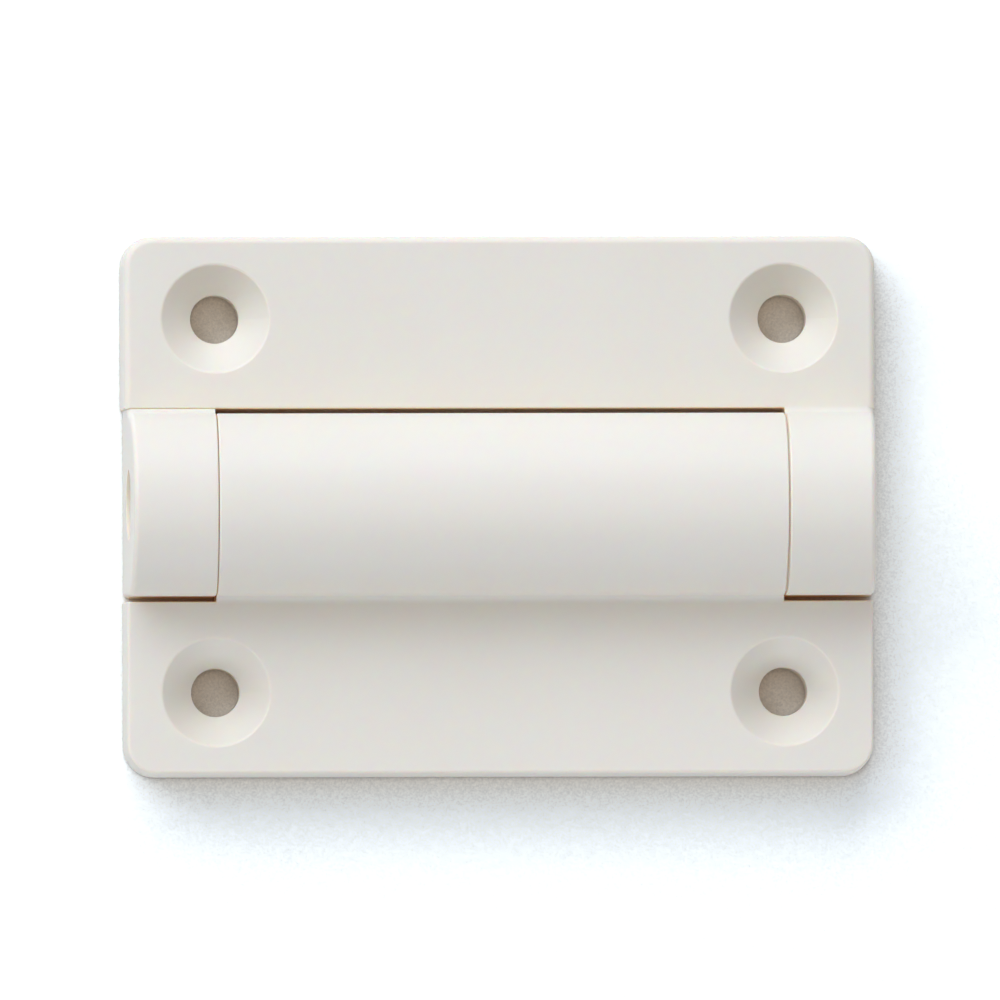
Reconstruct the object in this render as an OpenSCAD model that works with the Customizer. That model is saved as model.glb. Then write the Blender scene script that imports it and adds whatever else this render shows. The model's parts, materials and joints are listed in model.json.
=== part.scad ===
// Combination hinge for screwing onto a face: two moulded leaves, and in the barrel
// a rotary damper on the left and a friction (free stop) unit on the right.
// X runs along the hinge axis, +Y towards the frame leaf, +Z away from the mounting face.
// The origin is on the mounting face, at the middle of the hinge laid flat.

/* [Leaves] */
// Length of the frame leaf along the hinge axis
leaf_l = 69.8; // [67.8:0.2:90]
// From the hinge axis to the outer edge of either leaf
leaf_reach = 25; // [24:0.5:34]
// Thickness of both leaves
leaf_t = 7; // [6:0.1:8]
// How much shorter the door leaf is at each end
door_inset = 0.2; // [0:0.05:0.6]
// Plan radius of the outer corners
corner_r = 2.9; // [1.5:0.1:4]
// Rounding of the frame leaf's upper edges
frame_edge_r = 0.6; // [0.2:0.05:0.8]
// Rounding of the door leaf's upper edges
door_edge_r = 0.3; // [0.15:0.05:0.8]
// Draft of the outer walls, in degrees
draft = 2; // [0.5:0.5:3]
// Skin above the moulding pockets
skin_t = 2.2; // [1.8:0.1:3]
// Walls round the moulding pockets
wall_t = 2; // [1.6:0.1:2.6]
// Ribs between the moulding pockets
rib_t = 1.4; // [1:0.1:2.2]
// Width of one moulding pocket
pocket_w = 5.7; // [4:0.1:6.8]

/* [Screw holes] */
// Screw spacing along the hinge axis
hole_pitch_x = 52.5; // [50:0.5:56]
// Screw spacing across the two leaves
hole_pitch_y = 34.5; // [33.5:0.1:36]
// Clearance hole for the screw
hole_d = 4.5; // [3.5:0.1:5]
// Diameter of the countersink, where its cone meets the upper face
sink_d = 10; // [8:0.1:10.6]
// Rounding of the rim of the countersink
rim_r = 0.3; // [0.1:0.05:0.5]
// Boss round the hole, on the back
boss_d = 8.8; // [7.6:0.1:9.4]
// Ribs that tie the boss to the walls
boss_rib_t = 1.2; // [0.8:0.1:2]

/* [Barrel and knuckles] */
// Radius of the barrel and of both knuckles
barrel_r = 8.4; // [8.2:0.1:9]
// Height of the hinge axis above the mounting face
axis_h = 8.6; // [8.6:0.1:9.4]
// From each end of the frame leaf to the barrel
knuckle_l = 8.7; // [8:0.1:9.5]
// Running slit between the barrel and the frame leaf's knuckle
slit = 0.14; // [0.08:0.02:0.4]
// Running slit between the barrel and the cap
cap_slit = 0.08; // [0.08:0.02:0.4]
// How far the thrust ring on each knuckle stands back from the barrel's surface
ring_back = 0.3; // [0.2:0.05:0.8]
// Gap between the round parts and the edge of the opposite leaf
edge_gap = 0.5; // [0.3:0.05:0.8]
// Concave blend between the round parts and the leaf that carries them
blend_r = 0.8; // [0.4:0.1:1.2]
// Rounding of the outer ends of the knuckles
end_r = 0.55; // [0.25:0.05:0.7]
// Rounding of the edges that line the slits and gaps
soft_r = 0.15; // [0.1:0.05:0.3]
// How far the end of the right knuckle stands back from the end of the frame leaf
knuckle_inset = 0.1; // [0.05:0.05:0.5]
// How far the end of the cap stands back from the other end of the frame leaf
cap_inset = 0.25; // [0.05:0.05:0.5]
// Radius of the round recess in the end of the cap
dimple_r = 3.25; // [2:0.25:4]
// Depth of that recess
dimple_h = 0.35; // [0.2:0.05:0.8]

/* [Bearings] */
// Radius of the stub on each knuckle that carries the barrel
stub_r = 5.6; // [5:0.1:5.8]
// Length of that stub
stub_l = 2.9; // [2.2:0.1:3.4]
// Wall of the bearing bush
bush_t = 1.15; // [0.8:0.05:1.3]
// Radial width of the bush flange
flange_w = 0.7; // [0.4:0.05:0.8]
// Thickness of the bush flange
flange_t = 0.6; // [0.4:0.1:1]
// Gap between the bush and the unit behind it
bush_gap = 0.3; // [0.1:0.05:0.5]

/* [Barrel bore] */
// Bore of the barrel that holds the two units
bore_r = 6; // [5.8:0.1:6.2]
// Half the wall that parts the two bores
web_half = 1.5; // [1:0.1:2.5]
// Width of the anti-turn key on each unit
key_w = 1.9; // [1.4:0.1:2.6]
// Height of that key
key_h = 0.6; // [0.4:0.05:0.7]
// Width across the corners of the hexagon ends of the shafts
hex_d = 3.4; // [3:0.1:4]
// How far the hexagon ends reach past the barrel
hex_reach = 4.6; // [3:0.1:5.5]

/* [Damper unit] */
// Radius of the oil chamber
chamber_r = 4.6; // [4.2:0.1:4.9]
// Closed end of the chamber
damper_floor = 2; // [1.6:0.1:3]
// Radius of the rotor hub
hub_r = 2.2; // [2:0.1:2.6]
// Radius of the rotor journal in the lid
journal_r = 1.8; // [1.7:0.05:1.95]
// Thickness of the vane
vane_t = 1.4; // [1:0.1:2]
// How far the vane stands back from the tip of its seal
vane_back = 0.6; // [0.4:0.05:0.8]
// How far the seal's legs reach down the vane
seal_grip = 1.2; // [1:0.1:1.5]
// Thickness of the fixed rib across the chamber
dam_t = 1.6; // [1.2:0.1:2.2]
// Angle between the vane and the fixed rib with the hinge laid flat
vane_lead = 60; // [50:5:90]
// Thickness of the chamber lid
lid_t = 3.9; // [3.2:0.1:5]
// Section diameter of the ring seal
seal_d = 1.1; // [0.8:0.05:1.3]
// Legs of the seal that grips the vane
vane_seal_t = 0.35; // [0.25:0.05:0.5]

/* [Friction unit] */
// Bore of the friction unit's housing
pack_r = 4.5; // [4.3:0.1:4.7]
// Least thickness of the closed end of that housing
friction_floor = 1.8; // [1.4:0.1:2.6]
// How far that housing reaches past its retaining ring
ring_lip = 1.4; // [0.6:0.1:2]
// Thickness of one friction disc
disc_t = 0.5; // [0.4:0.05:0.55]
// Thickness of a spring leaf
spring_t = 0.4; // [0.3:0.05:0.5]
// Dish of a spring leaf
spring_dish = 0.3; // [0.15:0.05:0.4]
// Number of spring leaves
springs = 4; // [2:1:4]
// Radius of the friction shaft
shaft_r = 2.2; // [2:0.05:2.4]
// Distance between its two flats
shaft_flats = 3.2; // [2.8:0.1:3.6]
// Thickness of the collar on the shaft
collar_t = 1.2; // [0.8:0.1:1.6]
// Radius of the threaded end of the shaft, and of the pilots that centre both shafts
thread_r = 1.5; // [1.2:0.05:1.6]
// How far the pilots stand in the closed ends of the housings
pilot_l = 1; // [0.6:0.1:1.2]
// Height of the lock nut
nut_h = 2.4; // [1.8:0.1:3]
// Width of the lock nut across its corners
nut_d = 6.3; // [5.5:0.1:7]
// Thickness of the flat washers
washer_t = 0.6; // [0.4:0.1:0.8]
// Width of the ears on the fixed discs
ear_w = 2; // [1.4:0.1:2.6]
// How far the ears stand into the housing
ear_h = 0.6; // [0.4:0.05:0.7]
// Thickness of the housing cover
cover_t = 1.8; // [1.2:0.1:2]
// Wire thickness of the retaining ring
ring_t = 0.5; // [0.4:0.05:0.6]
// Depth of the groove for the retaining ring
groove_h = 0.4; // [0.3:0.05:0.5]
// Opening of the retaining ring
ring_opening = 1.6; // [1:0.1:3]

/* [Cap fixing] */
// Thickness of the tongue that lies under the frame leaf
tongue_t = 2.4; // [2:0.1:2.8]
// Width of the tongue under the leaf
tongue_w = 4.15; // [3.8:0.05:4.2]
// How far the tongue reaches past the inner face of the cap
tongue_reach = 4.4; // [3.6:0.1:6]
// Distance from the cap's end to the outer screw
screw_in = 4; // [3.6:0.1:4.6]
// Distance from the tip of the tongue to the inner screw
screw_tip = 2; // [1.8:0.1:2.6]
// Radius of the screw's shank
screw_r = 0.95; // [0.8:0.05:1.1]
// Length of the shank
screw_l = 4.2; // [3:0.1:4.4]
// Radius of the screw's head
head_r = 1.6; // [1.4:0.05:1.7]
// Height of the screw's head
head_h = 1.2; // [0.8:0.1:1.4]
// How deep the screw's head is sunk
head_sink = 0.1; // [0.05:0.05:0.3]

/* [Clearances] */
// Running clearance on radius
run = 0.05; // [0.02:0.01:0.08]
// Fit of a piece seated in its own body
seat = 0.02; // [0.01:0.01:0.05]
// Gap left between stacked flat pieces
stack = 0.03; // [0.02:0.01:0.05]
// Gap between the thrust ring on each knuckle and the end of the barrel
thrust = 0.04; // [0.02:0.01:0.06]
// Room left past the end of a pilot, a screw or a stub
end_room = 0.1; // [0.05:0.05:0.2]
// Room between the discs and their housing
disc_room = 0.15; // [0.1:0.05:0.2]

/* [Hidden] */
$fn = 96;
ivory = [0.93, 0.91, 0.87];
acetal = [0.85, 0.82, 0.74];
steel = [0.66, 0.67, 0.69];
bronze = [0.71, 0.53, 0.31];
over = 1;
join = 0.5;

// Inner edge of each leaf, and the y of its screws
inner_y = barrel_r + edge_gap;
hole_y = hole_pitch_y / 2;
hole_x = hole_pitch_x / 2;
pocket_h = leaf_t - skin_t;

// Barrel, inner face of each knuckle, and its outer end at the mounting face
barrel_l = leaf_l - 2 * knuckle_l;
knuckle_x = barrel_l / 2 + slit;
cap_x = barrel_l / 2 + cap_slit;
knuckle_end = leaf_l / 2 - knuckle_inset;
cap_end = leaf_l / 2 - cap_inset;
rim_over = 0.03;

// Middle of the concave blend, in the plane across the axis
blend_z = leaf_t + blend_r;
blend_y = sqrt(pow(barrel_r + blend_r, 2) - pow(axis_h - blend_z, 2));

// Bush, bore and unit places, measured outwards from the middle of the barrel
bush_in = stub_r + run;
bush_out = bush_in + bush_t;
bush_depth = stub_l - min(slit, cap_slit) + run + end_room;
unit_end = barrel_l / 2 - bush_depth - bush_gap;
unit_start = web_half + seat;
unit_r = bore_r - run;
hex_tip = barrel_l / 2 + hex_reach;

// Damper, measured along the axis
chamber_start = unit_start + damper_floor;
lid_start = unit_end - lid_t;
vane_tip = chamber_r - run;
vane_l = lid_start - chamber_start - 2 * run;

// Friction pack, set from the open end of its housing along the axis. It holds as many pairs of
// discs as there is room for, and the closed end takes up the rest.
spring_pitch = spring_t + spring_dish + stack;
disc_pitch = disc_t + stack;
ring_in = unit_end - ring_lip - ring_t;
cover_in = ring_in - stack - cover_t;
collar_in = cover_in - stack - collar_t;
pack_rest = 2 * (washer_t + stack) + springs * spring_pitch + nut_h + stack + end_room;
discs_l = collar_in - pack_rest - unit_start - friction_floor;
disc_pairs = floor(discs_l / (2 * disc_pitch));
discs_in = collar_in - 2 * disc_pairs * disc_pitch;
washer_out = discs_in - stack - washer_t;
spring_in = washer_out - springs * spring_pitch;
washer_in = spring_in - stack - washer_t;
pack_start = washer_in - stack - nut_h;
pack_floor = pack_start - end_room;
disc_r = pack_r - disc_room;
small_r = disc_r - 2 * disc_room;

// Tongue and its screws
tongue_y = inner_y + tongue_w;
tongue_x = cap_x - tongue_reach;
screw_y = inner_y + tongue_w / 2;
screw_xs = [cap_end - screw_in, tongue_x + screw_tip];

// Section of a drafted outer edge with rounding r, w wide from its inner line
module edge_section(w, back, r) {
    cx = w - (r + (leaf_t - r) * sin(draft)) / cos(draft);
    cz = leaf_t - r;
    polygon([[-back, 0], [w, 0], [cx + r * cos(draft), cz + r * sin(draft)],
        [cx, cz], [cx, leaf_t], [-back, leaf_t]]);
    translate([cx, cz]) circle(r);
}

// What rounding takes off a square edge whose corner is at the origin, material towards -x and -y
module edge_waste(r) {
    difference() {
        translate([-r, -r]) square(r + over);
        translate([-r, -r]) circle(r);
    }
}

// Flat plate of a leaf on the +Y side, l long, rounded where it faces the barrel
module leaf_blank(l, r) {
    cx = l / 2 - corner_r;
    cy = leaf_reach - corner_r;
    difference() {
        union() {
            translate([-cx, inner_y, 0]) cube([2 * cx, cy - inner_y, leaf_t]);
            translate([-cx, cy, 0]) rotate([90, 0, 90])
                linear_extrude(2 * cx) edge_section(corner_r, join, r);
            for (side = [0, 1]) mirror([side, 0, 0]) {
                translate([cx, cy, 0]) rotate([90, 0, 0])
                    linear_extrude(cy - inner_y) edge_section(corner_r, join, r);
                translate([cx, cy, 0]) rotate_extrude(angle = 90) edge_section(corner_r, 0, r);
            }
        }
        translate([-leaf_l, inner_y, leaf_t]) rotate([90, 0, 90])
            linear_extrude(2 * leaf_l) mirror([1, 0, 0]) edge_waste(soft_r);
    }
}

// Countersunk hole through a leaf, with a rounded rim
module screw_hole() {
    sink_z = leaf_t - (sink_d - hole_d) / 2;
    cx = sink_d / 2 + rim_r * (sqrt(2) - 1);
    rotate_extrude() difference() {
        polygon([[0, -over], [hole_d / 2, -over], [hole_d / 2, sink_z],
            [cx - rim_r / sqrt(2), leaf_t - rim_r + rim_r / sqrt(2)], [cx, leaf_t],
            [cx, leaf_t + over], [0, leaf_t + over]]);
        translate([cx, leaf_t - rim_r]) circle(rim_r);
    }
}

// Pocket round a screw boss, from y0 to the outer wall, with its tie ribs left standing
module boss_pocket(l, y0) {
    x0 = hole_x - boss_d / 2;
    x1 = l / 2 - wall_t;
    y1 = leaf_reach - wall_t;
    difference() {
        translate([x0, y0, -over]) cube([x1 - x0, y1 - y0, pocket_h + over]);
        translate([hole_x, hole_y, -2 * over]) cylinder(d = boss_d, h = leaf_t + 3 * over);
        translate([x0 - over, hole_y - boss_rib_t / 2, -2 * over])
            cube([x1 - x0 + 2 * over, boss_rib_t, leaf_t + 3 * over]);
        translate([hole_x - boss_rib_t / 2, y0 - over, -2 * over])
            cube([boss_rib_t, y1 - y0 + 2 * over, leaf_t + 3 * over]);
    }
}

// Row of pockets between the two bosses, from y0 to the outer wall
module pocket_row(y0) {
    room = 2 * (hole_x - boss_d / 2 - rib_t);
    count = floor((room + rib_t) / (pocket_w + rib_t));
    first = -(count * (pocket_w + rib_t) - rib_t) / 2;
    for (i = [0 : count - 1])
        translate([first + i * (pocket_w + rib_t), y0, -over])
            cube([pocket_w, leaf_reach - wall_t - y0, pocket_h + over]);
}

// Concave blend that runs from the round part down to the leaf, on the +y side
module blend_section() {
    difference() {
        polygon([[0, axis_h], [blend_y, blend_z], [blend_y, leaf_t - join], [0, leaf_t - join]]);
        translate([blend_y, blend_z]) circle(blend_r);
    }
}

// Section of a knuckle: round on top, straight down to the mounting face, joined to its leaf
module knuckle_section() {
    translate([0, axis_h]) circle(barrel_r);
    translate([-barrel_r, 0]) square([barrel_r, axis_h]);
    square([inner_y + join, leaf_t]);
    blend_section();
}

// Rounded end of a knuckle in plan: w to each side of the middle
module end_section(w, l) {
    polygon([[0, -l], [w, -l], [w, -end_r], [w - end_r, -end_r], [w - end_r, 0], [0, 0]]);
    translate([w - end_r, -end_r]) circle(end_r);
}

// Everything inside the leaning, rounded end face of a knuckle that ends at x
module end_limit(x) {
    w = barrel_r + rim_over;
    l = end_r + join;
    reach = 2 * leaf_reach;
    shoulder_y = blend_y - blend_r - end_r - join;
    translate([x - axis_h * tan(draft), 0, axis_h]) rotate([0, -draft, 0]) {
        translate([-leaf_l - end_r - rim_over, -reach, -reach]) cube([leaf_l, 2 * reach, 2 * reach]);
        difference() {
            rotate([0, 90, 0]) rotate_extrude() end_section(w, l);
            translate([-reach, shoulder_y, -reach]) cube([2 * reach, reach, reach + blend_z - axis_h]);
        }
        rotate([180, 0, 90]) linear_extrude(axis_h + over) mirror([1, 0, 0]) end_section(w, l);
        difference() {
            translate([-l, -join, -axis_h - over]) cube([l, reach, blend_z + over]);
            translate([0, blend_y, blend_z - axis_h]) rotate([0, 90, 0]) rotate_extrude() blend_waste();
        }
    }
}

// What the end rounding takes off round the concave blend
module blend_waste() {
    r = blend_r + rim_over;
    difference() {
        translate([0, -end_r]) square([r + end_r, end_r + over]);
        translate([r + end_r, -end_r]) circle(end_r);
    }
}

// Solid knuckle on the right, from x0 to x1, with the stub that carries the barrel and a thrust ring
module knuckle_blank(x0, x1) {
    difference() {
        intersection() {
            translate([x0, 0, 0]) rotate([90, 0, 90]) linear_extrude(x1 - x0 + over) knuckle_section();
            end_limit(x1);
        }
        translate([x0, 0, axis_h]) {
            rotate([0, 90, 0]) rotate_extrude(start = 90, angle = 180)
                translate([barrel_r, 0]) mirror([0, 1]) edge_waste(soft_r);
            rotate([180, 0, 90]) linear_extrude(axis_h + over)
                translate([-barrel_r, 0]) mirror([1, 0]) mirror([0, 1]) edge_waste(soft_r);
        }
    }
    translate([x0 - stub_l, 0, axis_h]) rotate([0, 90, 0]) cylinder(r = stub_r, h = stub_l + join);
    translate([barrel_l / 2 + thrust, 0, axis_h]) rotate([0, 90, 0])
        cylinder(r = barrel_r - ring_back, h = x0 - barrel_l / 2 - thrust + join);
}

// What is hollowed out of that knuckle: the hexagon socket and the pocket on the back
module knuckle_hollow(face, end) {
    x0 = face + wall_t;
    x1 = end - pocket_h * tan(draft) - wall_t;
    w = barrel_r - wall_t;
    translate([face - stub_l - over, 0, axis_h]) rotate([0, 90, 0])
        cylinder(d = hex_d + 2 * run, h = hex_tip + run - face + stub_l + over, $fn = 6);
    difference() {
        translate([x0, -w, -over]) cube([x1 - x0, 2 * w, axis_h - wall_t + over]);
        translate([x0 - over, 0, axis_h]) rotate([0, 90, 0]) cylinder(r = stub_r, h = x1 - x0 + 2 * over);
    }
}

// Frame leaf, with the right knuckle moulded in one piece with it
module frame_leaf() {
    color(ivory) difference() {
        union() {
            leaf_blank(leaf_l, frame_edge_r);
            knuckle_blank(knuckle_x, knuckle_end);
            inner_fillet(knuckle_x, -1);
        }
        knuckle_hollow(knuckle_x, knuckle_end);
        translate([-leaf_l / 2, inner_y, 0]) seam_round();
        for (side = [-1, 1]) translate([side * hole_x, hole_y, 0]) screw_hole();
        pocket_row(inner_y + wall_t);
        boss_pocket(leaf_l, inner_y + wall_t);
        mirror([1, 0, 0]) boss_pocket(leaf_l, tongue_y + wall_t);
        translate([-leaf_l, inner_y - over, -over])
            cube([leaf_l - tongue_x + run, tongue_w + run + over, tongue_t + seat + over]);
        for (x = screw_xs) translate([-x, screw_y, 0])
            cylinder(r = screw_r + seat, h = head_sink + head_h + screw_l + end_room);
    }
}

// What rounds the upright corner of the frame leaf beside the cap
module seam_round() {
    rotate([0, draft, 0]) translate([0, 0, -over]) linear_extrude(leaf_t + 2 * over) difference() {
        translate([-over, -over]) square(over + cap_inset);
        translate([cap_inset, cap_inset]) circle(cap_inset);
    }
}

// Door leaf, with the barrel moulded in one piece with it
module door_leaf() {
    l = leaf_l - 2 * door_inset;
    color(ivory) difference() {
        union() {
            mirror([0, 1, 0]) difference() {
                union() {
                    leaf_blank(l, door_edge_r);
                    translate([-barrel_l / 2, 0, 0]) cube([barrel_l, inner_y + join, leaf_t]);
                }
                pocket_row(over);
                for (side = [0, 1]) mirror([side, 0, 0]) boss_pocket(l, inner_y + wall_t);
            }
            outwards() rotate_extrude() barrel_section();
            for (side = [0, 1]) mirror([side, 0, 0]) mirror([0, 1, 0])
                inner_fillet(barrel_l / 2, 1);
            mirror([0, 1, 0]) translate([-barrel_l / 2, 0, 0]) rotate([90, 0, 90])
                linear_extrude(barrel_l) blend_section();
        }
        for (side = [-1, 1]) translate([side * hole_x, -hole_y, 0]) screw_hole();
        for (side = [0, 1]) mirror([side, 0, 0]) barrel_bore();
    }
}

// Half section of the barrel, with its rounded ends
module barrel_section() {
    l = barrel_l / 2;
    difference() {
        translate([0, -l]) square([barrel_r, 2 * l]);
        for (side = [0, 1]) mirror([0, side]) translate([barrel_r, l]) edge_waste(soft_r);
    }
}

// Upright fillet in the corner between a leaf's inner edge and the face at x, on the side given
module inner_fillet(x, side) {
    r = edge_gap / 2;
    translate([x, inner_y, 0]) linear_extrude(leaf_t - 2 * soft_r) difference() {
        translate([side > 0 ? 0 : -r, -r]) square(r);
        translate([side * r, -r]) circle(r);
    }
}

// Right half of what is bored out of the barrel
module barrel_bore() {
    outwards() {
        translate([0, 0, web_half]) cylinder(r = bore_r, h = barrel_l);
        translate([0, 0, barrel_l / 2 - bush_depth]) cylinder(r = bush_out + seat, h = bush_depth + over);
        translate([0, 0, barrel_l / 2 - flange_t - seat])
            cylinder(r = bush_out + flange_w + seat, h = flange_t + over);
        translate([0, -key_w / 2 - seat, web_half])
            cube([bore_r + key_h + seat, key_w + 2 * seat, unit_end - web_half + join]);
    }
}

// Places a piece on the hinge axis with its z outwards to the right
module outwards() {
    translate([0, 0, axis_h]) rotate([0, 90, 0]) children();
}

// The left cap is the other knuckle, closed by a tongue under the frame leaf
module end_cap() {
    color(ivory) mirror([1, 0, 0]) difference() {
        union() {
            tongue_heel();
            intersection() {
                knuckle_blank(cap_x, cap_end);
                translate([0, -leaf_reach, -over])
                    cube([leaf_l, leaf_reach + inner_y - seat, 3 * leaf_reach]);
            }
            intersection() {
                translate([tongue_x, 0, 0]) cube([leaf_l, tongue_y, tongue_t]);
                end_limit(cap_end);
                union() {
                    translate([cap_x, -over, -over]) cube([leaf_l, leaf_reach, leaf_t]);
                    translate([0, inner_y, -over]) cube([leaf_l, leaf_reach, leaf_t]);
                }
            }
        }
        knuckle_hollow(cap_x, cap_end);
        translate([cap_end - axis_h * tan(draft), 0, axis_h]) rotate([0, 90 - draft, 0])
            translate([0, 0, -dimple_h]) cylinder(r = dimple_r, h = dimple_h + over);
        for (x = screw_xs) translate([x, screw_y, -over]) {
            cylinder(r = head_r + run, h = over + head_sink + head_h);
            cylinder(r = screw_r + run, h = tongue_t + 2 * over);
        }
    }
}

// Root of the tongue under the leaf, which fills the leaf's slot out to its end
module tongue_heel() {
    difference() {
        intersection() {
            translate([cap_end - join, inner_y, 0]) cube([leaf_l, tongue_w, tongue_t]);
            end_limit(leaf_l / 2);
        }
        translate([leaf_l / 2, inner_y, 0]) mirror([1, 0, 0]) seam_round();
    }
}

// Two thread-forming screws that hold the cap, driven from the back
module cap_screws() {
    slot = head_r / 3;
    reach = head_r * 2 / 3;
    color(steel) for (x = screw_xs) translate([-x, screw_y, head_sink]) difference() {
        union() {
            cylinder(r = head_r, h = head_h);
            cylinder(r = screw_r, h = head_h + screw_l);
        }
        for (turn = [0, 90]) rotate([0, 0, turn])
            translate([-reach, -slot / 2, -over]) cube([2 * reach, slot, over + head_h / 2]);
    }
}

// Flanged bearing bush in the right end of the barrel
module bush() {
    color(acetal) outwards() difference() {
        union() {
            translate([0, 0, barrel_l / 2 - bush_depth]) cylinder(r = bush_out, h = bush_depth);
            translate([0, 0, barrel_l / 2 - flange_t]) cylinder(r = bush_out + flange_w, h = flange_t);
        }
        translate([0, 0, barrel_l / 2 - bush_depth - over])
            cylinder(r = bush_in, h = bush_depth + 2 * over);
    }
}
module right_bush() { bush(); }
module left_bush() { mirror([1, 0, 0]) bush(); }

// Cup that holds either unit, with its key downwards
module unit_cup(inside_r, floor_t) {
    translate([0, 0, unit_start]) difference() {
        union() {
            cylinder(r = unit_r, h = unit_end - unit_start);
            translate([0, -key_w / 2, 0]) cube([bore_r + key_h, key_w, unit_end - unit_start]);
        }
        translate([0, 0, floor_t]) cylinder(r = inside_r, h = unit_end);
    }
}

// Turns the damper's own parts so that the fixed rib points down
module damper() {
    mirror([1, 0, 0]) outwards() children();
}
module damper_housing() {
    color(acetal) damper() difference() {
        union() {
            unit_cup(chamber_r, damper_floor);
            translate([hub_r + run, -dam_t / 2, chamber_start - join])
                cube([chamber_r - hub_r, dam_t, lid_start - chamber_start + join]);
        }
        translate([0, 0, chamber_start - pilot_l - end_room])
            cylinder(r = thread_r + run, h = pilot_l + end_room + over);
    }
}

// Rotor with a single vane, a pilot at the closed end and a hexagon that drives the cap
module damper_rotor() {
    color(steel) damper() {
        translate([0, 0, chamber_start - pilot_l]) cylinder(r = thread_r, h = pilot_l + join);
        translate([0, 0, chamber_start + run]) cylinder(r = hub_r, h = vane_l);
        translate([0, 0, lid_start - join])
            cylinder(r = journal_r, h = unit_end - lid_start + join + end_room);
        translate([0, 0, unit_end]) cylinder(d = hex_d, h = hex_tip - unit_end, $fn = 6);
        rotate([0, 0, vane_lead]) translate([hub_r / 2, -vane_t / 2, chamber_start + 2 * run])
            cube([vane_tip - vane_back - hub_r / 2, vane_t, vane_l - 2 * run]);
    }
}

// Channel-shaped seal that grips the free edge of the vane
module vane_seal() {
    color("dimgray") damper() rotate([0, 0, vane_lead])
        translate([0, 0, chamber_start + run]) difference() {
            intersection() {
                cylinder(r = vane_tip, h = vane_l);
                translate([vane_tip - seal_grip, -vane_t / 2 - vane_seal_t, 0])
                    cube([seal_grip + over, vane_t + 2 * vane_seal_t, vane_l]);
            }
            translate([0, -vane_t / 2 - seat, -over])
                cube([vane_tip - vane_back + seat, vane_t + 2 * seat, vane_l + 2 * over]);
        }
}

// Lid of the oil chamber, with the seat of the ring seal on its inner side
module damper_lid() {
    color(acetal) damper() translate([0, 0, lid_start]) difference() {
        cylinder(r = chamber_r - seat, h = lid_t);
        translate([0, 0, -over]) cylinder(r = journal_r + run, h = lid_t + 2 * over);
        translate([0, 0, -over]) cylinder(r = journal_r + seal_d + 2 * run, h = over + seal_d + 2 * run);
    }
}
module ring_seal() {
    color("dimgray") damper() translate([0, 0, lid_start + seal_d / 2 + run])
        rotate_extrude() translate([journal_r + run + seal_d / 2, 0]) circle(d = seal_d);
}

// Housing of the friction unit, with two grooves for the ears and one for the ring
module friction_housing() {
    color(steel) outwards() difference() {
        unit_cup(pack_r, pack_floor - unit_start);
        translate([-pack_r - ear_h - run, -ear_w / 2 - run, discs_in - join])
            cube([2 * (pack_r + ear_h + run), ear_w + 2 * run, unit_end - discs_in + join + over]);
        translate([0, 0, ring_in]) cylinder(r = pack_r + groove_h, h = ring_t + stack);
        translate([0, 0, pack_floor - pilot_l - end_room])
            cylinder(r = thread_r + run, h = pilot_l + end_room + over);
    }
}

// Outline with two flats, for the shaft and for what turns with it
module two_flats(grow) {
    intersection() {
        circle(shaft_r + grow);
        square([2 * (shaft_r + over), shaft_flats + 2 * grow], center = true);
    }
}

// Steel shaft: thread, flats for the discs, collar, journal and hexagon
module friction_shaft() {
    thread_start = pack_floor - pilot_l;
    color(steel) outwards() {
        translate([0, 0, thread_start]) cylinder(r = thread_r, h = washer_in + join - thread_start);
        translate([0, 0, washer_in]) linear_extrude(collar_in - washer_in + join) two_flats(0);
        translate([0, 0, collar_in]) cylinder(r = small_r, h = collar_t);
        translate([0, 0, collar_in + join])
            cylinder(r = shaft_r, h = unit_end + end_room - collar_in - join);
        translate([0, 0, unit_end]) cylinder(d = hex_d, h = hex_tip - unit_end, $fn = 6);
    }
}

// Discs held by the housing: every second place in the pack
module fixed_discs() {
    color(bronze) outwards() for (i = [0 : disc_pairs - 1])
        translate([0, 0, discs_in + 2 * i * disc_pitch]) linear_extrude(disc_t) difference() {
            union() {
                circle(disc_r);
                square([2 * (pack_r + ear_h), ear_w], center = true);
            }
            circle(shaft_r + 2 * run);
        }
}

// Discs turned by the shaft, in the places between
module turning_discs() {
    color(steel) outwards() for (i = [0 : disc_pairs - 1])
        translate([0, 0, discs_in + (2 * i + 1) * disc_pitch]) linear_extrude(disc_t) difference() {
            circle(disc_r - disc_room);
            two_flats(run);
        }
}

// Dished spring leaves, laid back to back
module spring_leaves() {
    inside = shaft_r + 2 * run;
    color(steel) outwards() for (i = [0 : springs - 1]) {
        flip = i % 2;
        low = flip * spring_dish;
        high = spring_dish - low;
        translate([0, 0, spring_in + i * spring_pitch]) rotate_extrude()
            polygon([[inside, low], [small_r, high],
                [small_r, high + spring_t], [inside, low + spring_t]]);
    }
}

// One washer under the nut and one against the discs
module flat_washers() {
    color(steel) outwards() for (z = [washer_in, washer_out])
        translate([0, 0, z]) linear_extrude(washer_t) difference() {
            circle(disc_r - disc_room);
            two_flats(run);
        }
}
module lock_nut() {
    color(steel) outwards() translate([0, 0, pack_start]) difference() {
        cylinder(d = nut_d, h = nut_h, $fn = 6);
        translate([0, 0, -over]) cylinder(r = thread_r + seat, h = nut_h + 2 * over);
    }
}

// Cover that closes the friction unit and guides its shaft
module housing_cover() {
    color(acetal) outwards() translate([0, 0, cover_in]) difference() {
        cylinder(r = pack_r - seat, h = cover_t);
        translate([0, 0, -over]) cylinder(r = shaft_r + run, h = cover_t + 2 * over);
    }
}

// Sprung ring in the housing's groove, open at one side
module retaining_ring() {
    color(steel) outwards() translate([0, 0, ring_in + stack / 2]) linear_extrude(ring_t) difference() {
        circle(pack_r + groove_h - run);
        circle(pack_r - groove_h);
        translate([0, -ring_opening / 2]) square([2 * pack_r, ring_opening]);
    }
}

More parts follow.
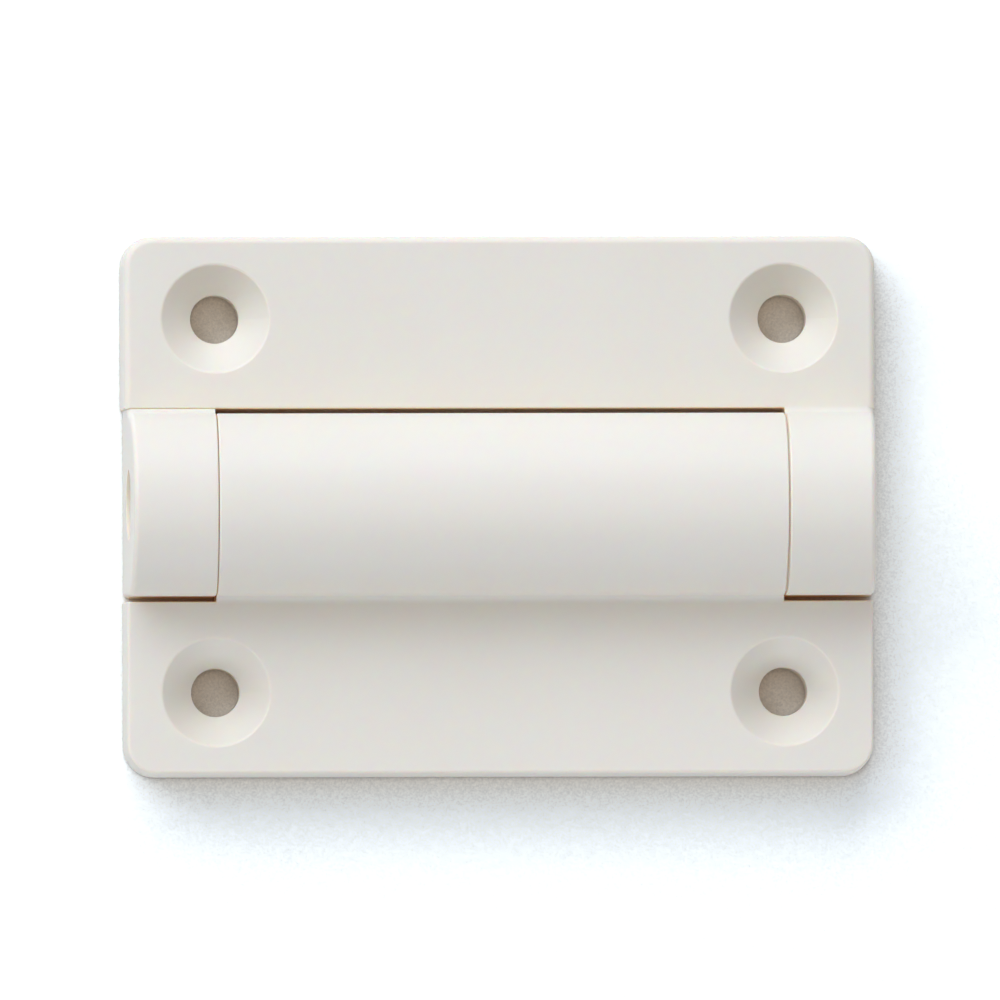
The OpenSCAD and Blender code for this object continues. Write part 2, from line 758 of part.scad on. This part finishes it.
frame_leaf();
door_leaf();
end_cap();
cap_screws();
left_bush();
right_bush();
damper_housing();
damper_rotor();
vane_seal();
damper_lid();
ring_seal();
friction_housing();
friction_shaft();
fixed_discs();
turning_discs();
spring_leaves();
flat_washers();
lock_nut();
housing_cover();
retaining_ring();
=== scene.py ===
"""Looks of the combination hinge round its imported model: finishes, cap screws, floor, light and
camera."""

import json
import math

import bpy
from mathutils import Matrix, Vector


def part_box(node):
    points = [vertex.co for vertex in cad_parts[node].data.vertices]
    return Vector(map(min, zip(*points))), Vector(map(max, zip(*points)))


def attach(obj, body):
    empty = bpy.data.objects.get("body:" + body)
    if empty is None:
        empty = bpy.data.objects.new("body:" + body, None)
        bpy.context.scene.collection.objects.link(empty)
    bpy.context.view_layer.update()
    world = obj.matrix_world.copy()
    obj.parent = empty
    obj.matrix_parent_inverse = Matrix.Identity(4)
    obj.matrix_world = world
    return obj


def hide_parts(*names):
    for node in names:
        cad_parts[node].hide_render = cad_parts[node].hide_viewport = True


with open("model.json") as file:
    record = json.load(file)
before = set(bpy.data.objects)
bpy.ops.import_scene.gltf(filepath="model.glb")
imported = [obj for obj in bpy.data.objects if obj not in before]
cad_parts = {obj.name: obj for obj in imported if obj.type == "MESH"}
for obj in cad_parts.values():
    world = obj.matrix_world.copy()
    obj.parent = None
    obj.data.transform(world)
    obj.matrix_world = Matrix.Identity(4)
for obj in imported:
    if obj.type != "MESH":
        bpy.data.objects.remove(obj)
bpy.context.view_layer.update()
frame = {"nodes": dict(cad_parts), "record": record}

MM = 0.001

# The photograph's view: almost straight down, from a little to the left and below. Distances to
# the camera are in metres.
IMAGE_PX = 1000
PX_PER_MM = 10.80
ORIGIN_PX = (496.7, 507.1)
CAMERA_LEAN = (-0.044, -0.032)
CAMERA_ROLL = math.radians(-0.18)
CAMERA_AWAY = 2.2
CAMERA_CLIP = 10
SENSOR_MM = 36.0

# One colour for all light. A lamp of strength 1 lights a white surface that faces it to full
# white. Angles are in degrees, the azimuth from the hinge's right side, and sizes in metres.
LIGHT_COLOUR = (0.92, 1.0, 1.235)
SKY_STRENGTH = 0.44
LAMP_AWAY = 1.2
LAMPS = {
    "softbox": {"azimuth": 118, "elevation": 40, "size": (1.6, 0.8), "strength": 1.05},
    "top_panel": {"azimuth": 340, "elevation": 84, "size": (0.8, 0.8), "strength": 0.135},
    "low_panel": {"azimuth": 268, "elevation": 17, "size": (0.6, 0.3), "strength": 0.255},
}

# The floor reaches this far from the origin, in metres. The leaves stand a little off it, which
# gives them a dark line at the foot, made darker by a painted line below. It is seen brighter than
# it is by the gain, so that it turns white where nothing shades it.
FLOOR_REACH = 1.2
FLOOR_DROP_MM = 0.12
FLOOR_GAIN = 1.8

# Painted shadow: beside the hinge, away from where the light comes, the paper is painted darker
# and warmer. A tone stands for the share of the space within CONTACT_MM that is clear. A narrower
# dark line is painted along the foot.
CONTACT_LIGHT = {"azimuth": 132, "elevation": 40}
CONTACT_MM = 5.0
CONTACT_RAYS = 4
PAINTED_SHADOW_TONES = ((0.0, "#D6B89C"), (0.3, "#D3C8BE"), (0.6, "#FAFAFC"), (1.0, "#FFFFFF"))
FOOT_MM = 0.4
FOOT_RAYS = 2
FOOT_SHADE = 0.62

# Painted shade: the plastic is coloured tan where less than this share of the space within the
# reach below is clear
CREVICE_SHADE_MM = 2.5
CREVICE_SHADE_RAYS = 5
CREVICE_SHADE_SHARE = 0.5

# The cap screws in mm: a pan head with a cross, and a core with a ridge wound round it. The head's
# radius and the length are those of the plain screws. The ridge's section is a triangle in a
# circle of the ridge's radius. It has a flat side outward, so it stands half of that radius off
# the core, and its last turn ends a little past the tip.
SCREW_MM = {"Head Height": 1.2, "Core Radius": 0.65, "Ridge Radius": 0.3, "Pitch": 0.9,
            "Recess Reach": 2.1, "Recess Width": 0.5, "Recess Depth": 0.8}
HEAD_SIDES = 48
CORE_SIDES = 32
SHARP_ANGLE = math.radians(35)

# What follows from a screw's sizes: its name, a size, the operation, and a size or a number
SCREW_MATHS = (
    ("Crown Height", "Head Height", "MULTIPLY", 0.3),
    ("Face Radius", "Head Radius", "MULTIPLY", 0.86),
    ("Disc Height", "Head Height", "SUBTRACT", "Crown Height"),
    ("Disc Ends", "Head Height", "ADD", "Crown Height"),
    ("Disc Middle", "Disc Ends", "MULTIPLY", 0.5),
    ("Block Height", "Recess Depth", "MULTIPLY", 2.0),
    ("Shank Length", "Length", "SUBTRACT", "Head Height"),
    ("Tip Radius", "Core Radius", "MULTIPLY", 0.7),
    ("Turns", "Shank Length", "DIVIDE", "Pitch"),
)

# Points of one shell that are nearer each other than this are one point
MERGE_MM = 0.001


def linear(hex_colour):
    """An sRGB hex colour as the linear values that Blender's sockets take."""
    values = [int(hex_colour[i:i + 2], 16) / 255 for i in (1, 3, 5)]
    return (*(v / 12.92 if v <= 0.04045 else ((v + 0.055) / 1.055) ** 2.4 for v in values), 1.0)


def features(size_mm):
    """The scale at which a noise has features of about size_mm."""
    return 1 / (size_mm * MM)


def add_node(tree, kind, inputs=None, **settings):
    """Adds a node with its settings. An input that is given a socket, or a list of sockets, is
    linked to it, and any other takes the value."""
    node = tree.nodes.new(kind)
    for name, value in settings.items():
        setattr(node, name, value)
    for name, value in (inputs or {}).items():
        socket = node.inputs[name]
        if isinstance(value, (bpy.types.NodeSocket, list)):
            for source in value if isinstance(value, list) else [value]:
                tree.links.new(source, socket)
        else:
            socket.default_value = value
    return node


def make_material(recipe):
    """A material named after its recipe. The recipe fills the tree, on the object's own
    coordinates, and returns the shader."""
    material = bpy.data.materials.new(recipe.__name__)
    material.use_nodes = True
    tree = material.node_tree
    tree.nodes.clear()
    where = add_node(tree, "ShaderNodeTexCoord").outputs["Object"]
    add_node(tree, "ShaderNodeOutputMaterial", {"Surface": recipe(tree, where)})
    return material


def uneven_surface(tree, tint, pattern, roughness, relief, constants):
    """A shader with a tint, whose roughness goes from the first value to the second with a
    pattern. The relief is a pattern, its strength and its depth in mm."""
    height, strength, depth_mm = relief
    low, high = roughness
    gloss = add_node(tree, "ShaderNodeMapRange",
                     {"Value": pattern, "To Min": low, "To Max": high})
    bumps = add_node(tree, "ShaderNodeBump",
                     {"Height": height, "Strength": strength, "Distance": depth_mm * MM})
    return add_node(tree, "ShaderNodeBsdfPrincipled",
                    {"Base Color": tint.outputs["Result"], "Roughness": gloss.outputs["Result"],
                     "Normal": bumps.outputs["Normal"], **constants}).outputs["BSDF"]


def moulded_matte_plastic(tree, where):
    """Ivory polyester (PBT) from a spark-eroded mould: matte and even, with a fine grain and a
    faint cloud of tint. Light sinks a little way into it, red furthest, and goes from wall to wall
    in slits and deep corners. There its colour is painted tan, as painted shade, where walls leave
    little space clear. A faint warm glow is painted over all of it, so deep gaps look brown rather
    than black."""
    # The real grain is about 0.05 mm across, and is drawn coarser so that it shows. The clouds of
    # tint are about 18 mm across, as the flow of the melt leaves them.
    grain = add_node(tree, "ShaderNodeTexNoise",
                     {"Vector": where, "Scale": features(0.16), "Detail": 3.0,
                      "Roughness": 0.6}).outputs["Fac"]
    cloud = add_node(tree, "ShaderNodeTexNoise", {"Vector": where, "Scale": features(18)})
    open_tint = add_node(tree, "ShaderNodeMix",
                         {"Factor": cloud.outputs["Fac"], "A": linear("#DDD6C1"),
                          "B": linear("#E1DAC6")}, data_type="RGBA")
    # Painted shade: where walls within a short reach leave little space clear, the colour is mixed
    # towards tan
    clear = add_node(tree, "ShaderNodeAmbientOcclusion", {"Distance": CREVICE_SHADE_MM * MM},
                     samples=CREVICE_SHADE_RAYS)
    crevice_unshaded = add_node(tree, "ShaderNodeMapRange",
                        {"Value": clear.outputs["AO"], "From Max": CREVICE_SHADE_SHARE})
    tint = add_node(tree, "ShaderNodeMix",
                    {"Factor": crevice_unshaded.outputs["Result"], "A": linear("#F2DAB0"),
                     "B": open_tint.outputs["Result"]}, data_type="RGBA")
    # Painted glow: a faint warm emission lights the plastic, though it is no lamp
    return uneven_surface(tree, tint, grain, (0.48, 0.58), (grain, 0.12, 0.02), {
        "IOR": 1.48, "Subsurface Weight": 1.0, "Subsurface Radius": (1.0, 0.5, 0.25),
        "Subsurface Scale": 0.6 * MM, "Emission Color": linear("#FFB380"),
        "Emission Strength": 0.025})


def moulded_natural_acetal(tree, where):
    """Unpigmented acetal (POM), moulded smooth: milky and waxy, with faint flow lines along the
    barrel."""
    # Flow lines are about 1.5 mm apart and four times as long
    along = add_node(tree, "ShaderNodeMapping", {"Vector": where, "Scale": (0.25, 1.0, 1.0)})
    flow = add_node(tree, "ShaderNodeTexNoise",
                    {"Vector": along.outputs["Vector"], "Scale": features(1.5),
                     "Detail": 3.0}).outputs["Fac"]
    ripple = add_node(tree, "ShaderNodeTexNoise", {"Vector": where, "Scale": features(0.4)})
    tint = add_node(tree, "ShaderNodeMix",
                    {"Factor": flow, "A": linear("#DAD5C6"), "B": linear("#E4E0D3")},
                    data_type="RGBA")
    return uneven_surface(tree, tint, flow, (0.3, 0.38), (ripple.outputs["Fac"], 0.08, 0.02), {
        "IOR": 1.48, "Subsurface Weight": 0.6, "Subsurface Radius": (1.0, 0.85, 0.7),
        "Subsurface Scale": 0.8 * MM})


def turned_zinc_plated_steel(tree, where):
    """Turned steel with clear zinc plating: cool grey, with fine tool marks round the axis and a
    cloudy sheen where the plating is a little thicker."""
    # Tool marks are 0.07 mm apart along the axis and run over a millimetre round it
    around = add_node(tree, "ShaderNodeMapping", {"Vector": where, "Scale": (12.0, 0.6, 0.6)})
    marks = add_node(tree, "ShaderNodeTexNoise",
                     {"Vector": around.outputs["Vector"], "Scale": features(0.8), "Detail": 3.0,
                      "Roughness": 0.7})
    cloud = add_node(tree, "ShaderNodeTexNoise",
                     {"Vector": where, "Scale": features(2.5), "Detail": 3.0}).outputs["Fac"]
    tint = add_node(tree, "ShaderNodeMix",
                    {"Factor": cloud, "A": linear("#A9ACB1"), "B": linear("#C2C5CA")},
                    data_type="RGBA")
    return uneven_surface(tree, tint, cloud, (0.24, 0.42), (marks.outputs["Fac"], 0.25, 0.01),
                          {"Metallic": 1.0})


def stamped_phosphor_bronze(tree, where):
    """Stamped and tumbled phosphor bronze: warm brown-gold, satin, a little darker and duller in
    patches of tarnish."""
    # Tarnish comes in patches of a millimetre or so, the dents of tumbling are a tenth of that
    patches = add_node(tree, "ShaderNodeTexNoise",
                       {"Vector": where, "Scale": features(1.2), "Detail": 4.0}).outputs["Fac"]
    dents = add_node(tree, "ShaderNodeTexNoise",
                     {"Vector": where, "Scale": features(0.12), "Detail": 3.0})
    tint = add_node(tree, "ShaderNodeMix",
                    {"Factor": patches, "A": linear("#A06B3C"), "B": linear("#C89257")},
                    data_type="RGBA")
    return uneven_surface(tree, tint, patches, (0.44, 0.28), (dents.outputs["Fac"], 0.15, 0.01),
                          {"Metallic": 1.0})


def moulded_black_rubber(tree, where):
    """Moulded nitrile rubber, wet with a film of damper oil: almost black, with a soft grain under
    a thin gloss."""
    # The grain of the mould is about 0.2 mm across
    grain = add_node(tree, "ShaderNodeTexNoise",
                     {"Vector": where, "Scale": features(0.2), "Detail": 3.0}).outputs["Fac"]
    tint = add_node(tree, "ShaderNodeMix",
                    {"Factor": grain, "A": linear("#161616"), "B": linear("#242322")},
                    data_type="RGBA")
    return uneven_surface(tree, tint, grain, (0.5, 0.7), (grain, 0.2, 0.02),
                          {"IOR": 1.52, "Coat Weight": 0.3, "Coat Roughness": 0.15})


FINISHES = {
    "ivory_plastic": make_material(moulded_matte_plastic),
    "natural_acetal": make_material(moulded_natural_acetal),
    "plated_steel": make_material(turned_zinc_plated_steel),
    "phosphor_bronze": make_material(stamped_phosphor_bronze),
    "black_rubber": make_material(moulded_black_rubber),
}


def dress_frame():
    """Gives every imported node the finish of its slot."""
    for row in frame["record"]["subparts"]:
        for slot in frame["nodes"][row["node"]].material_slots:
            slot.material = FINISHES[row["material_slot"]]


def screw_tree(size_names):
    """Node tree that sets a thread-forming pan-head screw, head down, on each point it gets."""
    tree = bpy.data.node_groups.new("screws", "GeometryNodeTree")
    for name, in_out, kind in (("Geometry", "INPUT", "Geometry"),
                               *((name, "INPUT", "Float") for name in size_names),
                               ("Material", "INPUT", "Material"),
                               ("Geometry", "OUTPUT", "Geometry")):
        tree.interface.new_socket(name, in_out=in_out, socket_type="NodeSocket" + kind)
    size = dict(add_node(tree, "NodeGroupInput").outputs.items())
    for name, first, operation, second in SCREW_MATHS:
        size[name] = add_node(tree, "ShaderNodeMath",
                              {0: size[first], 1: size.get(second, second)},
                              operation=operation).outputs["Value"]
    lift = {name: add_node(tree, "ShaderNodeCombineXYZ", {"Z": size[name]}).outputs["Vector"]
            for name in ("Disc Middle", "Head Height")}

    # Head: a short cone and a disc, made one shell where they meet, with a cross cut into it
    crown = add_node(tree, "GeometryNodeMeshCone",
                     {"Vertices": HEAD_SIDES, "Radius Bottom": size["Face Radius"],
                      "Radius Top": size["Head Radius"], "Depth": size["Crown Height"]})
    disc = add_node(tree, "GeometryNodeMeshCylinder",
                    {"Vertices": HEAD_SIDES, "Radius": size["Head Radius"],
                     "Depth": size["Disc Height"]})
    open_crown, open_disc = (
        add_node(tree, "GeometryNodeDeleteGeometry",
                 {"Geometry": part.outputs["Mesh"], "Selection": part.outputs[end]},
                 domain="FACE").outputs["Geometry"]
        for part, end in ((crown, "Top"), (disc, "Bottom")))
    raised_disc = add_node(tree, "GeometryNodeTransform",
                           {"Geometry": open_disc, "Translation": lift["Disc Middle"]})
    halves = add_node(tree, "GeometryNodeJoinGeometry",
                      {"Geometry": [open_crown, raised_disc.outputs["Geometry"]]})
    head = add_node(tree, "GeometryNodeMergeByDistance",
                    {"Geometry": halves.outputs["Geometry"], "Distance": MERGE_MM * MM})
    blocks = []
    for across, along in (("Recess Reach", "Recess Width"), ("Recess Width", "Recess Reach")):
        block = add_node(tree, "ShaderNodeCombineXYZ",
                         {"X": size[across], "Y": size[along], "Z": size["Block Height"]})
        blocks.append(add_node(tree, "GeometryNodeMeshCube",
                               {"Size": block.outputs["Vector"]}).outputs["Mesh"])
    cut_head = add_node(tree, "GeometryNodeMeshBoolean",
                        {"Mesh 1": head.outputs["Geometry"], "Mesh 2": blocks},
                        operation="DIFFERENCE", solver="EXACT")

    # Shank: a core that narrows to its tip, with one ridge wound round it
    core = add_node(tree, "GeometryNodeMeshCone",
                    {"Vertices": CORE_SIDES, "Radius Bottom": size["Core Radius"],
                     "Radius Top": size["Tip Radius"], "Depth": size["Shank Length"]})
    wind = add_node(tree, "GeometryNodeCurveSpiral",
                    {"Resolution": CORE_SIDES, "Rotations": size["Turns"],
                     "Start Radius": size["Core Radius"], "End Radius": size["Tip Radius"],
                     "Height": size["Shank Length"]})
    upright = add_node(tree, "GeometryNodeSetCurveNormal", {"Curve": wind.outputs["Curve"]},
                       mode="Z_UP")
    section = add_node(tree, "GeometryNodeCurvePrimitiveCircle",
                       {"Resolution": 3, "Radius": size["Ridge Radius"]})
    ridge = add_node(tree, "GeometryNodeCurveToMesh",
                     {"Curve": upright.outputs["Curve"],
                      "Profile Curve": section.outputs["Curve"], "Fill Caps": True})
    shank = add_node(tree, "GeometryNodeJoinGeometry",
                     {"Geometry": [core.outputs["Mesh"], ridge.outputs["Mesh"]]})
    raised_shank = add_node(tree, "GeometryNodeTransform",
                            {"Geometry": shank.outputs["Geometry"],
                             "Translation": lift["Head Height"]})

    screw = add_node(tree, "GeometryNodeJoinGeometry",
                     {"Geometry": [cut_head.outputs["Mesh"], raised_shank.outputs["Geometry"]]})
    placed = add_node(tree, "GeometryNodeInstanceOnPoints",
                      {"Points": size["Geometry"], "Instance": screw.outputs["Geometry"]})
    real = add_node(tree, "GeometryNodeRealizeInstances",
                    {"Geometry": placed.outputs["Instances"]})
    plated = add_node(tree, "GeometryNodeSetMaterial",
                      {"Geometry": real.outputs["Geometry"], "Material": size["Material"]})
    add_node(tree, "NodeGroupOutput", {"Geometry": plated.outputs["Geometry"]})
    return tree


def make_cap_screws():
    """The two screws on the back of the cap, with their threads and crosses, where the plain ones
    are."""
    low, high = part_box("cap_screws")
    head_radius = (high.y - low.y) / 2
    middle_y = (low.y + high.y) / 2
    sizes = {name: value * MM for name, value in SCREW_MM.items()}
    sizes["Head Radius"] = head_radius
    sizes["Length"] = high.z - low.z
    points = bpy.data.meshes.new("screw_places")
    points.from_pydata([(x, middle_y, low.z) for x in (low.x + head_radius, high.x - head_radius)],
                       [], [])
    maker = bpy.data.objects.new("screw_places", points)
    bpy.context.scene.collection.objects.link(maker)
    modifier = maker.modifiers.new("screws", "NODES")
    modifier.node_group = screw_tree(sizes)
    values = {**sizes, "Material": FINISHES["plated_steel"]}
    for item in modifier.node_group.interface.items_tree:
        if item.name in values:
            modifier[item.identifier] = values[item.name]
    drawn = maker.evaluated_get(bpy.context.evaluated_depsgraph_get())
    mesh = bpy.data.meshes.new_from_object(drawn)
    mesh.shade_smooth()
    mesh.set_sharp_from_angle(angle=SHARP_ANGLE)
    bpy.data.objects.remove(maker)
    screws = bpy.data.objects.new("cap_screws_threaded", mesh)
    bpy.context.scene.collection.objects.link(screws)
    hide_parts("cap_screws")
    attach(screws, "frame_side")


def direction(light):
    """The way from the hinge to where a light comes from."""
    elevation, azimuth = math.radians(light["elevation"]), math.radians(light["azimuth"])
    return Vector((math.cos(elevation) * math.cos(azimuth),
                   math.cos(elevation) * math.sin(azimuth), math.sin(elevation)))


def pale_paper(tree, where):
    """Pale backing paper with fine fibres, which show in the shadow. A shadow is painted on it,
    darker and warmer, beside the hinge and in its screw holes. The camera and the gloss of the
    pieces see it brighter than it is."""
    # The real fibres are about 0.02 mm wide, and are drawn coarser so that they show
    fibres = add_node(tree, "ShaderNodeTexNoise",
                      {"Vector": where, "Scale": features(0.2), "Roughness": 0.6})
    tint = add_node(tree, "ShaderNodeMix",
                    {"Factor": fibres.outputs["Fac"], "A": linear("#B2B1A5"),
                     "B": linear("#E3E2D4")}, data_type="RGBA")

    # Painted shadow: the share of clear space towards the light, near the hinge and right at its
    # foot, darkens and warms the paper's colour
    towards = direction(CONTACT_LIGHT)
    open_side = add_node(tree, "ShaderNodeCombineXYZ",
                         {"X": towards.x, "Y": towards.y, "Z": towards.z}).outputs["Vector"]
    beside, at_foot = (
        add_node(tree, "ShaderNodeAmbientOcclusion",
                 {"Normal": open_side, "Distance": reach_mm * MM}, samples=rays).outputs["AO"]
        for reach_mm, rays in ((CONTACT_MM, CONTACT_RAYS), (FOOT_MM, FOOT_RAYS)))
    painted_shadow = add_node(tree, "ShaderNodeValToRGB", {"Fac": beside})
    stops = painted_shadow.color_ramp.elements
    for share, _ in PAINTED_SHADOW_TONES[1:-1]:
        stops.new(share)
    for stop, (_, tone) in zip(stops, PAINTED_SHADOW_TONES):
        stop.color = linear(tone)
    painted_foot_line = add_node(tree, "ShaderNodeMapRange", {"Value": at_foot, "To Min": FOOT_SHADE})
    paper = tint.outputs["Result"]
    for shade in (painted_shadow.outputs["Color"], painted_foot_line.outputs["Result"]):
        paper = add_node(tree, "ShaderNodeVectorMath", {0: paper, 1: shade},
                         operation="MULTIPLY").outputs["Vector"]

    brighter = add_node(tree, "ShaderNodeVectorMath", {0: paper, "Scale": FLOOR_GAIN},
                        operation="SCALE").outputs["Vector"]
    plain, bright = (add_node(tree, "ShaderNodeBsdfDiffuse", {"Color": colour}).outputs["BSDF"]
                     for colour in (paper, brighter))
    rays = add_node(tree, "ShaderNodeLightPath").outputs
    seen = rays["Is Camera Ray"]
    for ray in ("Is Glossy Ray", "Is Transmission Ray"):
        seen = add_node(tree, "ShaderNodeMath", {0: seen, 1: rays[ray]},
                        operation="MAXIMUM").outputs["Value"]
    return add_node(tree, "ShaderNodeMixShader", {0: seen, 1: plain, 2: bright}).outputs["Shader"]


def make_stage():
    """The floor, which turns white where nothing shades it and keeps the hinge's shadow."""
    corners = ((-1, -1), (1, -1), (1, 1), (-1, 1))
    mesh = bpy.data.meshes.new("floor")
    mesh.from_pydata([(x * FLOOR_REACH, y * FLOOR_REACH, -FLOOR_DROP_MM * MM) for x, y in corners],
                     [], [(0, 1, 2, 3)])
    mesh.materials.append(make_material(pale_paper))
    floor = bpy.data.objects.new("floor", mesh)
    bpy.context.scene.collection.objects.link(floor)


def make_light():
    """A wide softbox up and to the back left, a panel overhead, a low one in front, and an even
    sky."""
    world = bpy.data.worlds.new("sky")
    world.use_nodes = True
    sky = world.node_tree.nodes["Background"]
    sky.inputs["Color"].default_value = (*LIGHT_COLOUR, 1)
    sky.inputs["Strength"].default_value = SKY_STRENGTH
    bpy.context.scene.world = world
    for name, row in LAMPS.items():
        lamp = bpy.data.lights.new(name, "AREA")
        lamp.shape = "RECTANGLE"
        lamp.size, lamp.size_y = row["size"]
        lamp.color = LIGHT_COLOUR
        lamp.energy = row["strength"] * (math.pi * LAMP_AWAY) ** 2
        holder = bpy.data.objects.new(name, lamp)
        towards = direction(row)
        holder.location = towards * LAMP_AWAY
        holder.rotation_euler = (-towards).to_track_quat("-Z", "Y").to_euler()
        bpy.context.scene.collection.objects.link(holder)


def make_camera():
    """The photograph's camera, placed from where the origin and the scale fall in its frame."""
    middle = IMAGE_PX / 2
    aim = Vector((middle - ORIGIN_PX[0], ORIGIN_PX[1] - middle, 0)) / PX_PER_MM * MM
    back = Vector((*CAMERA_LEAN, 1)).normalized()
    right = Vector((0, 1, 0)).cross(back).normalized()
    turn = Matrix((right, back.cross(right), back)).transposed().to_4x4()
    data = bpy.data.cameras.new("camera")
    data.sensor_width = SENSOR_MM
    data.lens = PX_PER_MM / MM * CAMERA_AWAY / IMAGE_PX * SENSOR_MM
    data.clip_end = CAMERA_CLIP
    camera = bpy.data.objects.new("camera", data)
    place = Matrix.Translation(aim + back * CAMERA_AWAY)
    camera.matrix_world = place @ turn @ Matrix.Rotation(CAMERA_ROLL, 4, "Z")
    bpy.context.scene.collection.objects.link(camera)
    bpy.context.scene.camera = camera


make_camera()
dress_frame()
make_cap_screws()
make_stage()
make_light()
bpy.context.scene.view_settings.view_transform = "Standard"
